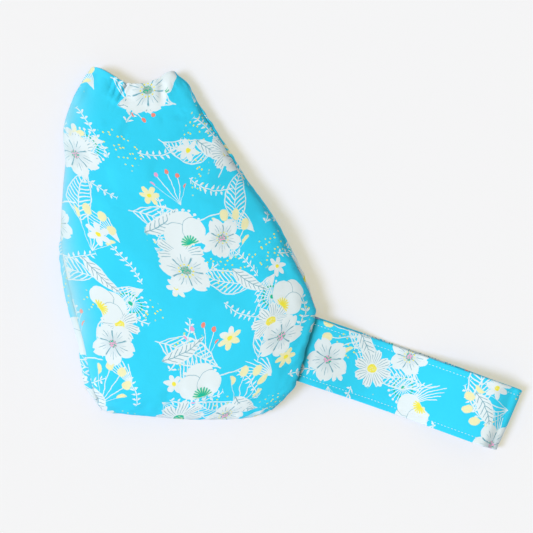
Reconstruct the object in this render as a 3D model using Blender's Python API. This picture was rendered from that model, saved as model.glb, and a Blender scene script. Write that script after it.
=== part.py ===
"""Padded cloth pouch lying flat, with a folded wrist strap sewn into its right side seam.

Metres, +Z up. The pouch rests on the plane z = 0 with its mouth towards +Y and its strap
towards +X, and the origin is the middle of the patch that it rests on.
"""

import math

import bpy
import numpy as np

# Outline of the body seen from above, as points of smooth curves.
LEFT_SIDE = (
    (-0.0500, 0.1440), (-0.0585, 0.1365), (-0.0650, 0.1235), (-0.0700, 0.1040), (-0.0686, 0.0800),
    (-0.0702, 0.0500), (-0.0720, 0.0210), (-0.0670, -0.0065), (-0.0600, -0.0330), (-0.0570, -0.0500),
    (-0.0525, -0.0650), (-0.0440, -0.0780),
)
RIGHT_SIDE = (
    (0.0042, 0.1440), (0.0104, 0.1365), (0.0195, 0.1205), (0.0312, 0.1020), (0.0488, 0.0741),
    (0.0696, 0.0429), (0.0845, 0.0137), (0.0922, -0.0040), (0.0949, -0.0176), (0.0890, -0.0388),
    (0.0832, -0.0595), (0.0754, -0.0690), (0.0655, -0.0780),
)
MOUTH_EDGE = (
    (-0.0500, 0.1440), (-0.0480, 0.1449), (-0.0450, 0.1440), (-0.0407, 0.1420), (-0.0358, 0.1385),
    (-0.0290, 0.1344), (-0.0176, 0.1337), (-0.0078, 0.1366), (-0.0034, 0.1397), (0.0042, 0.1440),
)
BOTTOM_EDGE = (
    (-0.0440, -0.0780), (-0.0325, -0.0812), (0.0110, -0.0846), (0.0488, -0.0842), (0.0655, -0.0780),
)
MOUTH_DIP_REACH = 0.045
BOTTOM_BULGE_REACH = 0.050

# Heights of the stuffed body. The crown is above the widest line, the belly below it.
WIDEST_AT_MOUTH = 0.0075
WIDEST_AT_BODY = 0.0120
WIDEST_AT_BOTTOM = 0.0095
WIDEST_FADE = 0.022
CROWN_AT_MOUTH = 0.0078
CROWN_AT_BODY = 0.0195
SWELL_LENGTH = 0.120
BELLY_PRESS = 0.0040
PRESS_ROUND = 0.0020
CLOSING_LENGTH = 0.062
SECTION_POWER = 2.5
CLOSING_POWER = 2.2

# Cloth.
OUTER_WALL = 0.0015
LINING_WALL = 0.0008
LAYER_CLEARANCE = 0.0006
SEAM_GAP = 0.0004
LEFT_SEAM_LIFT = 0.0085
LEFT_SEAM_FADE = 0.022
RIGHT_SEAM_LIFT = 0.0055
RIGHT_SEAM_FADE = 0.045
SEAM_PINCH = 0.0008
SEAM_PINCH_WIDTH = 0.0025

# A tuck sewn into the front at the mouth.
TUCK_X = -0.0310
TUCK_DEPTH = 0.0014
TUCK_WIDTH = 0.0050
TUCK_LENGTH = 0.0120

# Wrist strap: one band, folded back on itself at the far end.
STRAP_ROOT_Y = -0.0388
STRAP_LENGTH = 0.1380
STRAP_WIDTH = 0.0425
STRAP_SLOPE = math.radians(-19.3)
BAND_THICKNESS = 0.0022
BAND_EDGE_ROUND = 0.0010
BAND_LAYER_GAP = 0.0003
BAND_TAIL = 0.0011
STRAP_DROP_LENGTH = 0.050
FOLD_GAP = 0.0084
FOLD_LENGTH = 0.0110
FOLD_SKEW = 0.078
LOOP_OPEN_LENGTH = 0.060
SLOT_CLEARANCE = 0.0002
SLOT_EASE = 0.006

# Mesh density.
COLUMNS = 22
ROW_COUNT = 19
BAND_STATIONS = 12
FOLD_STATIONS = 9
POINTS_PER_SPAN = 14

MOUTH_Y = MOUTH_EDGE[0][1]
BOTTOM_Y = BOTTOM_EDGE[0][1]
STRAP_STACK = 2 * BAND_THICKNESS + BAND_LAYER_GAP


def smooth_step(value):
    """Zero below 0, one above 1, and an even S between."""
    held = np.clip(value, 0.0, 1.0)
    return held * held * (3.0 - 2.0 * held)


def smooth_curve(points):
    """Catmull-Rom curve through the points."""
    knots = np.array(points)
    padded = np.vstack([2 * knots[0] - knots[1], knots, 2 * knots[-1] - knots[-2]])
    t = np.linspace(0.0, 1.0, POINTS_PER_SPAN, endpoint=False)[:, None]
    spans = []
    for before, start, end, after in zip(padded[:-3], padded[1:-2], padded[2:-1], padded[3:]):
        linear = (end - before) * t
        square = (2 * before - 5 * start + 4 * end - after) * t**2
        cube = (3 * start - before - 3 * end + after) * t**3
        spans.append(0.5 * (2 * start + linear + square + cube))
    return np.vstack(spans + [knots[-1:]])


LEFT_CURVE = smooth_curve(LEFT_SIDE)
RIGHT_CURVE = smooth_curve(RIGHT_SIDE)
MOUTH_CURVE = smooth_curve(MOUTH_EDGE)
BOTTOM_CURVE = smooth_curve(BOTTOM_EDGE)


def side_x(curve, y):
    """Where a side curve stands at the height y of the outline."""
    return np.interp(y, curve[::-1, 1], curve[::-1, 0])


def edge_y(curve, x):
    """Where the mouth or bottom curve stands at x."""
    return np.interp(x, curve[:, 0], curve[:, 1])


def swell(y):
    """How far the body has swollen between the mouth and its full height, from 0 to 1."""
    return smooth_step((MOUTH_Y - y) / SWELL_LENGTH)


def closing(distance):
    """Share of the full height at this distance from the bottom edge."""
    near = np.clip(1.0 - distance / CLOSING_LENGTH, 0.0, 1.0)
    return (1.0 - near**CLOSING_POWER) ** (1.0 / CLOSING_POWER)


def widest_height(y):
    """Height of the body's widest line above the floor."""
    body = WIDEST_AT_MOUTH + (WIDEST_AT_BODY - WIDEST_AT_MOUTH) * swell(y)
    to_bottom = 1.0 - smooth_step((y - BOTTOM_Y) / WIDEST_FADE)
    return body + (WIDEST_AT_BOTTOM - WIDEST_AT_BODY) * to_bottom


def crown_height(y):
    """Height of the crown above the widest line, before the bottom closes."""
    return CROWN_AT_MOUTH + (CROWN_AT_BODY - CROWN_AT_MOUTH) * swell(y)


def belly_depth(y):
    """Depth of the belly below the widest line, before the floor presses it flat."""
    return widest_height(y) + BELLY_PRESS * swell(y)


def pressed(height, floor):
    """Height held at the floor, with a rounded start to the flat patch."""
    above = height - floor
    rounded = (np.clip(above, -PRESS_ROUND, PRESS_ROUND) + PRESS_ROUND) ** 2 / (4 * PRESS_ROUND)
    return floor + np.where(above > PRESS_ROUND, above, rounded)


def angle_at(share):
    """Angle from the crown at which the section stands at this share of its height."""
    held = np.clip(share, -1.0, 1.0)
    return np.arccos(np.sign(held) * np.abs(held) ** (SECTION_POWER / 2))


def shell_points(angle, row_y, inset, seams):
    """Points of the body at angles about its long axis, inset from the outer face.

    Each row is a superellipse from side to side. Its heights are those of the crown above
    the widest line and of the belly below it. Rows near the mouth follow the mouth's dip and
    rows near the bottom follow the bottom edge, where the heights close like an ellipse.
    """
    length = MOUTH_Y - BOTTOM_Y
    y = MOUTH_Y - (MOUTH_Y - row_y) * (length - inset) / length
    left = side_x(LEFT_CURVE, y) + inset
    right = side_x(RIGHT_CURVE, y) - inset
    sine, cosine = np.sin(angle), np.cos(angle)
    across = np.sign(sine) * np.abs(sine) ** (2 / SECTION_POWER)
    rise = np.sign(cosine) * np.abs(cosine) ** (2 / SECTION_POWER)
    share = closing(y - BOTTOM_Y - inset)
    height = np.where(cosine > 0, crown_height(row_y), belly_depth(row_y)) - inset
    lift = height * share * rise
    z = pressed(widest_height(row_y) + lift, inset)
    x = (left + right) / 2 + (right - left) / 2 * across

    mouth_x = MOUTH_CURVE[0, 0] + (MOUTH_CURVE[-1, 0] - MOUTH_CURVE[0, 0]) * (1 + across) / 2
    bottom_x = BOTTOM_CURVE[0, 0] + (BOTTOM_CURVE[-1, 0] - BOTTOM_CURVE[0, 0]) * (1 + across) / 2
    by_mouth = 1.0 - smooth_step((MOUTH_Y - row_y) / MOUTH_DIP_REACH)
    by_bottom = 1.0 - smooth_step((row_y - BOTTOM_Y) / BOTTOM_BULGE_REACH)
    dip = (edge_y(MOUTH_CURVE, mouth_x) - MOUTH_Y) * by_mouth
    bulge = (edge_y(BOTTOM_CURVE, bottom_x) - BOTTOM_Y) * by_bottom

    for direction, seam in zip((-1, 1), seams):
        pinch = SEAM_PINCH * np.exp(-(((rise - seam) * height / SEAM_PINCH_WIDTH) ** 2))
        beside = np.clip(direction * across, 0, 1) ** 4
        x = x - direction * pinch * beside * share
    bottom_pinch = SEAM_PINCH * np.exp(-((lift / SEAM_PINCH_WIDTH) ** 2)) * by_bottom * (1 - across**4)
    tuck = TUCK_DEPTH * np.exp(-(((mouth_x - TUCK_X) / TUCK_WIDTH) ** 2))
    tuck = tuck * (1.0 - smooth_step((MOUTH_Y + dip - row_y) / TUCK_LENGTH)) * np.clip(rise, 0, 1)
    return np.stack([x, y + dip + bulge + bottom_pinch * (1 - share), z - tuck], axis=-1)


def left_seam_share(row_y):
    """Height of the left seam above the widest line, as a share of the crown."""
    fade = smooth_step((row_y - BOTTOM_Y) / LEFT_SEAM_FADE)
    return LEFT_SEAM_LIFT / CROWN_AT_BODY * fade


def slot_half_length():
    """Half the length of the right seam that the strap takes up."""
    return STRAP_WIDTH * math.cos(STRAP_SLOPE) / 2 + SLOT_CLEARANCE


def right_seam_share(row_y):
    """Height of the right seam above the widest line, as a share of the crown, level at the strap."""
    above_slot = row_y - STRAP_ROOT_Y - slot_half_length() - SLOT_EASE
    return RIGHT_SEAM_LIFT / CROWN_AT_BODY * smooth_step(above_slot / RIGHT_SEAM_FADE)


def strap_slot(row_y):
    """Opening of the right seam for the strap, from 0 to 1 along the seam."""
    from_middle = np.abs(row_y - STRAP_ROOT_Y)
    return 1.0 - smooth_step((from_middle - slot_half_length()) / SLOT_EASE)


def body_rows():
    """Row stations from mouth to bottom, closer together at both ends and at the strap."""
    even = np.linspace(0.0, 1.0, ROW_COUNT)
    waved = 0.3 * even + 0.7 * (1 - np.cos(math.pi * even)) / 2
    rows = MOUTH_Y - (MOUTH_Y - BOTTOM_Y) * waved
    reaches = (slot_half_length(), slot_half_length() + SLOT_EASE)
    slot_rows = [STRAP_ROOT_Y + side * reach for side in (-1, 1) for reach in reaches]
    spacing = SLOT_EASE / 2
    kept = [row for row in rows[1:-1] if min(abs(row - slot) for slot in slot_rows) > spacing]
    return np.array(sorted([rows[0], rows[-1]] + kept + slot_rows, reverse=True))


def panel_angles(front, rows, slotted):
    """Angles of a panel's columns in each row, from its left seam to its right one."""
    even = np.linspace(0.0, 1.0, COLUMNS + 1)
    waved = 0.5 * even + 0.5 * (1 - np.cos(math.pi * even)) / 2
    open_by = (STRAP_STACK / 2 + SLOT_CLEARANCE) * strap_slot(rows) * slotted
    left = -angle_at(left_seam_share(rows))
    height = crown_height(rows) if front else belly_depth(rows)
    inner_height = (height - OUTER_WALL) * closing(rows - BOTTOM_Y + OUTER_WALL)
    right_share = right_seam_share(rows)
    if front:
        right = angle_at(right_share + open_by / inner_height)
    else:
        left = left + 2 * math.pi
        right = angle_at(right_share - open_by / inner_height)
    return left[:, None] + (right - left)[:, None] * waved[None, :]


def closed_shell(name, outer, inner, finish):
    """One closed body between two grids of points."""
    rows, columns = outer.shape[:2]
    index = np.arange(rows * columns).reshape(rows, columns)
    inside = index + rows * columns
    faces = []
    for grid, turn in ((index, 1), (inside, -1)):
        quads = np.stack([grid[:-1, :-1], grid[1:, :-1], grid[1:, 1:], grid[:-1, 1:]], axis=-1)
        faces += [quad[::turn] for quad in quads.reshape(-1, 4).tolist()]
    rim = np.concatenate([index[0, :-1], index[:-1, -1], index[-1, :0:-1], index[:0:-1, 0]])
    for start, end in zip(rim, np.roll(rim, -1)):
        faces.append([int(start), int(end), int(end) + rows * columns, int(start) + rows * columns])
    points = np.concatenate([outer.reshape(-1, 3), inner.reshape(-1, 3)])
    return add_piece(name, points, faces, finish)


def add_piece(name, points, faces, finish):
    """A mesh object of these faces, turned outwards and shaded smooth."""
    mesh = bpy.data.meshes.new(name)
    mesh.from_pydata(points.tolist(), [], faces)
    mesh.validate()
    if signed_volume(mesh) < 0:
        mesh.flip_normals()
    mesh.shade_smooth()
    mesh.set_sharp_from_angle(angle=math.radians(50))
    mesh.materials.append(finish)
    piece = bpy.data.objects.new(name, mesh)
    bpy.context.scene.collection.objects.link(piece)
    return piece


def signed_volume(mesh):
    """Volume enclosed by the mesh, below zero where its faces point inwards."""
    mesh.calc_loop_triangles()
    points = np.array([vertex.co for vertex in mesh.vertices])
    corners = points[np.array([triangle.vertices for triangle in mesh.loop_triangles])]
    return float(np.einsum("ij,ij->", corners[:, 0], np.cross(corners[:, 1], corners[:, 2])) / 6)


def cloth(name, colour, roughness):
    """Cotton finish."""
    finish = bpy.data.materials.new(name)
    finish.use_nodes = True
    shader = finish.node_tree.nodes["Principled BSDF"]
    shader.inputs["Base Color"].default_value = (*colour, 1.0)
    shader.inputs["Roughness"].default_value = roughness
    shader.inputs["Metallic"].default_value = 0.0
    return finish


def body_shell(name, front, outside, wall, finish):
    """One panel of the body or of its lining, its outer face at the inset outside."""
    rows = body_rows()
    angles = panel_angles(front, rows, slotted=outside == 0.0)
    row_y = rows[:, None]
    seams = (left_seam_share(row_y), right_seam_share(row_y))
    faces = []
    for inset in (outside, outside + wall):
        points = shell_points(angles, row_y, inset, seams)
        if front:
            points[..., 2] += SEAM_GAP
        faces.append(points)
    return closed_shell(name, faces[0], faces[1], finish)


def strap_centreline():
    """Side view of the band's middle: distance from the seam and height, from tail to tail."""
    slot_middle = widest_height(STRAP_ROOT_Y) + SEAM_GAP / 2
    lower_root = slot_middle - (BAND_LAYER_GAP + BAND_THICKNESS) / 2
    fold_start = STRAP_LENGTH - FOLD_LENGTH
    along = np.concatenate([[-BAND_TAIL], np.linspace(0.0, fold_start, BAND_STATIONS)])
    drop = smooth_step(along / STRAP_DROP_LENGTH)
    lower = lower_root + (BAND_THICKNESS / 2 - lower_root) * drop
    opening = smooth_step((along - fold_start + LOOP_OPEN_LENGTH) / LOOP_OPEN_LENGTH)
    gap = BAND_LAYER_GAP + (FOLD_GAP - BAND_LAYER_GAP) * opening
    upper = lower + BAND_THICKNESS + gap

    turn = np.linspace(-math.pi / 2, math.pi / 2, FOLD_STATIONS + 2)[1:-1]
    half_rise = (upper[-1] - lower[-1]) / 2
    fold_along = fold_start + (FOLD_LENGTH - BAND_THICKNESS / 2) * np.cos(turn)
    fold_height = lower[-1] + half_rise * (1 + np.sin(turn))
    distance = np.concatenate([along, fold_along, along[::-1]])
    height = np.concatenate([lower, fold_height, upper[::-1]])
    return np.stack([distance, height], axis=-1)


def strap_section():
    """Half width and half thickness at the corners of the band's section, its edges rounded."""
    half, thick = STRAP_WIDTH / 2, BAND_THICKNESS / 2
    flat = half - BAND_EDGE_ROUND
    return np.array([(-half, 0), (-flat, -thick), (flat, -thick), (half, 0), (flat, thick), (-flat, thick)])


def wrist_strap(finish):
    """The folded band, its tails in the slot of the right seam."""
    line = strap_centreline()
    tangent = np.gradient(line, axis=0)
    tangent /= np.linalg.norm(tangent, axis=1, keepdims=True)
    normal = np.stack([-tangent[:, 1], tangent[:, 0]], axis=-1)
    section = strap_section()
    side = line[:, None, :] + normal[:, None, :] * section[None, :, 1:2]
    lateral = np.broadcast_to(section[None, :, 0], side.shape[:2])

    forward = np.array([math.cos(STRAP_SLOPE), math.sin(STRAP_SLOPE)])
    sideways = np.array([-forward[1], forward[0]])
    reach = STRAP_WIDTH / 2 * sideways[1]
    ends = [np.array([side_x(RIGHT_CURVE, STRAP_ROOT_Y + step), step]) for step in (-reach, reach)]
    seam_run = ends[1] - ends[0]
    root_skew = seam_run @ forward / (seam_run @ sideways)
    root = np.array([(ends[0][0] + ends[1][0]) / 2, STRAP_ROOT_Y])

    skew = root_skew + (FOLD_SKEW - root_skew) * np.clip(side[..., 0] / STRAP_LENGTH, 0, 1)
    along = side[..., 0] + skew * lateral
    plan = root + along[..., None] * forward + lateral[..., None] * sideways
    points = np.concatenate([plan, side[..., 1:2]], axis=-1)

    stations, corners = points.shape[:2]
    index = np.arange(stations * corners).reshape(stations, corners)
    beside = np.roll(index, -1, axis=1)
    quads = np.stack([index[:-1], beside[:-1], beside[1:], index[1:]], axis=-1)
    faces = quads.reshape(-1, 4).tolist() + [index[0, ::-1].tolist(), index[-1].tolist()]
    return add_piece("wrist_strap", points.reshape(-1, 3), faces, finish)


def clear_scene():
    """Empty the scene of what a new file starts with."""
    for existing in list(bpy.data.objects):
        bpy.data.objects.remove(existing, do_unlink=True)


def main():
    """Build the pouch."""
    clear_scene()
    print_cloth = cloth("turquoise_print_cotton", (0.050, 0.690, 0.950), 0.85)
    lining_cloth = cloth("white_lining_cotton", (0.80, 0.80, 0.78), 0.90)
    lining_outside = OUTER_WALL + LAYER_CLEARANCE
    body_shell("front_panel", True, 0.0, OUTER_WALL, print_cloth)
    body_shell("back_panel", False, 0.0, OUTER_WALL, print_cloth)
    body_shell("lining_front", True, lining_outside, LINING_WALL, lining_cloth)
    body_shell("lining_back", False, lining_outside, LINING_WALL, lining_cloth)
    wrist_strap(print_cloth)


main()
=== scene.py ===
"""Looks of a padded cotton pouch with a folded wrist strap, lying flat on a pale table.

Metres, +Z up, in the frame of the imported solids: the pouch rests on z = 0, its mouth points
to +Y and its strap to +X. Every cloth piece here is a surface worked out on a grid, in the
place of the plain solid that it stands for.
"""

import logging
import math
from collections.abc import Callable
from dataclasses import dataclass, replace
from enum import Enum
from typing import Any

import bmesh
import bpy
import numpy as np
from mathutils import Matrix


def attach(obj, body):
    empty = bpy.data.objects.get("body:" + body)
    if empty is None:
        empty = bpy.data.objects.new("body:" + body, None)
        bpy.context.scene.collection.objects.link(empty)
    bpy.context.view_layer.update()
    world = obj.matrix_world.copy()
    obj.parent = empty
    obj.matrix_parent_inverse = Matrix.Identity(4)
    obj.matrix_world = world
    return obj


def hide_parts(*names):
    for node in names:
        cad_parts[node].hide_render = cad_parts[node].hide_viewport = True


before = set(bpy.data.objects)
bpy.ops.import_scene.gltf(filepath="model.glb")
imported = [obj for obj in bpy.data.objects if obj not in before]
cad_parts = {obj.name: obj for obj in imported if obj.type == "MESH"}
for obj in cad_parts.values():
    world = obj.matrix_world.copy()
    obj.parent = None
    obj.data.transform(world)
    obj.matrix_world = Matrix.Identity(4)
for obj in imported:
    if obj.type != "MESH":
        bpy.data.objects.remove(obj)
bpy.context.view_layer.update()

log = logging.getLogger("pouch")

Colour = tuple[float, float, float]
Curve = tuple[tuple[float, float], ...]
Array = np.ndarray
MM = 0.001


def tint(red: int, green: int, blue: int) -> Colour:
    """Linear colour of a screen colour given in parts of 255."""
    def linear(part: int) -> float:
        share = part / 255
        return share / 12.92 if share <= 0.04045 else ((share + 0.055) / 1.055) ** 2.4
    return linear(red), linear(green), linear(blue)


def smooth_step(value: Array) -> Array:
    """Zero below 0, one above 1, and an even S between."""
    held = np.clip(value, 0.0, 1.0)
    return held * held * (3.0 - 2.0 * held)


def bell(distance: Array, width: float) -> Array:
    """Gaussian of a distance, one at its middle."""
    return np.exp(-((distance / width) ** 2))


def crowded(count: int, share: float) -> Array:
    """Numbers from 0 to 1, closer together at both ends by a share."""
    even = np.linspace(0.0, 1.0, count)
    return (1.0 - share) * even + share * (1 - np.cos(math.pi * even)) / 2


def smooth_curve(points: Curve, per_span: int = 40) -> Array:
    """Catmull-Rom curve through the points.

    Args:
        points: The curve's knots.
        per_span: Points worked out between two knots.

    Returns:
        The curve's points, one to a row.
    """
    knots = np.array(points)
    padded = np.vstack([2 * knots[0] - knots[1], knots, 2 * knots[-1] - knots[-2]])
    t = np.linspace(0.0, 1.0, per_span, endpoint=False)[:, None]
    spans = []
    for before, start, end, after in zip(padded[:-3], padded[1:-2], padded[2:-1], padded[3:]):
        linear = (end - before) * t
        square = (2 * before - 5 * start + 4 * end - after) * t**2
        cube = (3 * start - before - 3 * end + after) * t**3
        spans.append(0.5 * (2 * start + linear + square + cube))
    return np.vstack(spans + [knots[-1:]])


def operator(operation: str, swapped: bool = False) -> Callable[["Value", Any], "Value"]:
    """A Python operator that adds a Math node, with its two numbers swapped or not."""
    def apply(first: "Value", second: Any) -> "Value":
        return first.weaver.math(operation, *((second, first) if swapped else (first, second)))
    return apply


class Value:
    """A number that varies over a surface. Python operators on it add Math nodes.

    The sign | gives the larger of two numbers and & the smaller.
    """

    __add__ = __radd__ = operator("ADD")
    __mul__ = __rmul__ = operator("MULTIPLY")
    __sub__ = operator("SUBTRACT")
    __rsub__ = operator("SUBTRACT", swapped=True)
    __truediv__ = operator("DIVIDE")
    __or__ = operator("MAXIMUM")
    __and__ = operator("MINIMUM")

    def __init__(self, weaver: "NodeWeaver", socket: bpy.types.NodeSocket) -> None:
        """Wrap a node's output socket."""
        self.weaver = weaver
        self.socket = socket

    def of(self, operation: str, *others: Any) -> "Value":
        """The number put through a Math node."""
        return self.weaver.math(operation, self, *others)

    def size(self) -> "Value":
        """The number without its sign."""
        return self.of("ABSOLUTE")

    def folded(self, period: float) -> "Value":
        """The number brought into half a period either side of zero."""
        return self.of("WRAP", period / 2, -period / 2)

    def beyond(self, edge: Any, softness: float) -> "Value":
        """One where the number is past the edge, zero short of it, with a soft step."""
        return (self - edge).ramped(-softness, softness)

    def within(self, edge: Any, softness: float) -> "Value":
        """One where the number is short of the edge, zero past it, with a soft step."""
        return (self - edge).ramped(softness, -softness)

    def ramped(self, start: float, end: float) -> "Value":
        """Smooth step from 0 at the start to 1 at the end."""
        values = {"Value": self, "From Min": start, "From Max": end}
        made = self.weaver.node("ShaderNodeMapRange", {"interpolation_type": "SMOOTHSTEP"}, values)
        return Value(self.weaver, made.outputs[0])


class NodeWeaver:
    """Adds nodes to one tree."""

    def __init__(self, tree: bpy.types.NodeTree) -> None:
        """Work in this tree."""
        self.tree = tree

    def node(self, kind: str, settings: dict[str, Any] | None = None,
             values: dict[Any, Any] | None = None) -> bpy.types.Node:
        """Any node.

        Args:
            kind: The node's type.
            settings: Its properties, set first.
            values: What its input sockets hold or are linked to.

        Returns:
            The new node.
        """
        made = self.tree.nodes.new(kind)
        for name, setting in (settings or {}).items():
            setattr(made, name, setting)
        for key, value in (values or {}).items():
            self.put(made.inputs[key], value)
        return made

    def put(self, socket: bpy.types.NodeSocket, value: Any) -> None:
        """Link a value to a socket, or set a constant on it."""
        if isinstance(value, Value):
            value = value.socket
        if isinstance(value, bpy.types.NodeSocket):
            self.tree.links.new(value, socket)
        else:
            socket.default_value = value

    def math(self, operation: str, *values: Any) -> Value:
        """A Math node on numbers."""
        made = self.node("ShaderNodeMath", {"operation": operation}, dict(enumerate(values)))
        return Value(self, made.outputs[0])

    def vector(self, operation: str, *values: Any) -> bpy.types.Node:
        """A Vector Math node."""
        return self.node("ShaderNodeVectorMath", {"operation": operation}, dict(enumerate(values)))

    def shifted(self, vector: Any, by: Any, operation: str = "ADD") -> Any:
        """A vector with another one added to it, or taken off."""
        return self.vector(operation, vector, by).outputs[0]

    def scaled(self, vector: Any, scale: float) -> Any:
        """A vector times a number."""
        values = {0: vector, "Scale": scale}
        return self.node("ShaderNodeVectorMath", {"operation": "SCALE"}, values).outputs[0]

    def turned(self, vector: Any, degrees: float) -> Any:
        """A vector turned about Z."""
        values = {"Vector": vector, "Angle": math.radians(degrees)}
        return self.node("ShaderNodeVectorRotate", {"rotation_type": "Z_AXIS"}, values).outputs[0]

    def parts(self, vector: Any) -> tuple[Value, ...]:
        """A vector's three numbers."""
        split = self.node("ShaderNodeSeparateXYZ", {}, {0: vector})
        return tuple(Value(self, part) for part in split.outputs)

    def mixed_vector(self, factor: Any, first: Any, second: Any) -> Any:
        """A mix of two vectors."""
        settings = {"data_type": "VECTOR", "clamp_factor": True}
        return self.node("ShaderNodeMix", settings, {0: factor, 4: first, 5: second}).outputs[1]

    def mixed(self, factor: Any, first: Any, second: Any) -> Any:
        """A mix of two colours, each one a socket or the numbers of a plain colour."""
        first, second = ((*part, 1.0) if isinstance(part, tuple) else part for part in (first, second))
        return self.node("ShaderNodeMix", {"data_type": "RGBA"}, {0: factor, 6: first, 7: second}).outputs[2]

    def noise(self, vector: Any, scale: float, detail: float = 2.0, output: str = "Fac") -> Any:
        """A Noise Texture's number, or its colour, on the given coordinates."""
        values = {"Vector": vector, "Scale": scale, "Detail": detail}
        made = self.node("ShaderNodeTexNoise", {}, values).outputs[output]
        return Value(self, made) if output == "Fac" else made

    def attribute(self, name: str) -> Any:
        """A number stored on the mesh."""
        return self.node("ShaderNodeAttribute", {"attribute_name": name}).outputs["Fac"]

    def cloth(self) -> Any:
        """Place on the flat cloth, in metres."""
        return self.node("ShaderNodeUVMap", {"uv_map": "cloth"}).outputs[0]

    def seen(self) -> Value:
        """One for what the camera sees straight away, zero for light that bounces."""
        return Value(self, self.node("ShaderNodeLightPath").outputs["Is Camera Ray"])

    def bumped(self, shader: bpy.types.Node, height: Any, strength: float, distance: float) -> None:
        """Give a shader a relief."""
        values = {"Strength": strength, "Distance": distance, "Height": height}
        self.put(shader.inputs["Normal"], self.node("ShaderNodeBump", {}, values).outputs[0])


def new_material(name: str) -> tuple[bpy.types.Material, NodeWeaver, bpy.types.Node]:
    """An empty finish.

    Args:
        name: Its name.

    Returns:
        The material, a weaver for its nodes, and its shader.
    """
    made = bpy.data.materials.new(name)
    made.use_nodes = True
    return made, NodeWeaver(made.node_tree), made.node_tree.nodes["Principled BSDF"]


@dataclass(frozen=True)
class Palette:
    """Colours of the print's dyes, and the pale colour of the painted highlight on the lit left side."""

    ground: Colour = tint(56, 222, 254)
    ground_deep: Colour = tint(46, 214, 250)
    # Pale colour of the painted highlight along the lit left side, not a dye.
    highlight_pale: Colour = tint(194, 219, 214)
    petal: Colour = tint(233, 245, 247)
    petal_shade: Colour = tint(213, 230, 235)
    line: Colour = tint(66, 158, 178)
    green: Colour = tint(22, 196, 158)
    yellow: Colour = tint(248, 238, 72)
    pale_yellow: Colour = tint(244, 242, 190)
    pink: Colour = tint(241, 172, 214)
    coral: Colour = tint(250, 142, 126)
    stone: Colour = tint(164, 184, 176)


DYES = Palette()


@dataclass(frozen=True)
class Place:
    """Where a motif stands in its repeat and its reach, in millimetres, its turn in degrees, its dye."""

    x: float
    y: float
    turn: float
    size: float
    dye: float = 0.0


@dataclass(frozen=True)
class Motif:
    """The size of a motif's repeat, in millimetres, and the motif's places in it."""

    repeat: tuple[float, float]
    places: tuple[Place, ...]


@dataclass(frozen=True)
class Local:
    """Coordinates of a motif, in which it reaches about 1 from its middle, and its dye."""

    vector: Any
    x: Value
    y: Value
    dye: Value
    reach: Value


def ellipse(along: Value, across: Value, middle: float, half_length: float, half_width: float) -> Value:
    """Square of a point's distance from an ellipse's middle, one on its edge."""
    first = (along - middle) / half_length
    second = across / half_width
    return first * first + second * second


def polar(x: Value, y: Value) -> tuple[Value, Value]:
    """Angle and distance of a point from zero."""
    return y.of("ARCTAN2", x), (x * x + y * y).of("SQRT")


def petal_axes(local: Local, count: int) -> tuple[Value, Value, Value]:
    """Angle, distance along and distance across the petal that a point belongs to."""
    angle = local.y.of("ARCTAN2", local.x).folded(2 * math.pi / count)
    return angle, local.reach * angle.of("COSINE"), local.reach * angle.of("SINE")


def leaf_width(local: Local, widest: float) -> Value:
    """Half width of a leaf at a distance along it, a pointed oval."""
    return (1.0 - local.x * local.x) * (1.0 - local.x * 0.35) * widest


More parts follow.
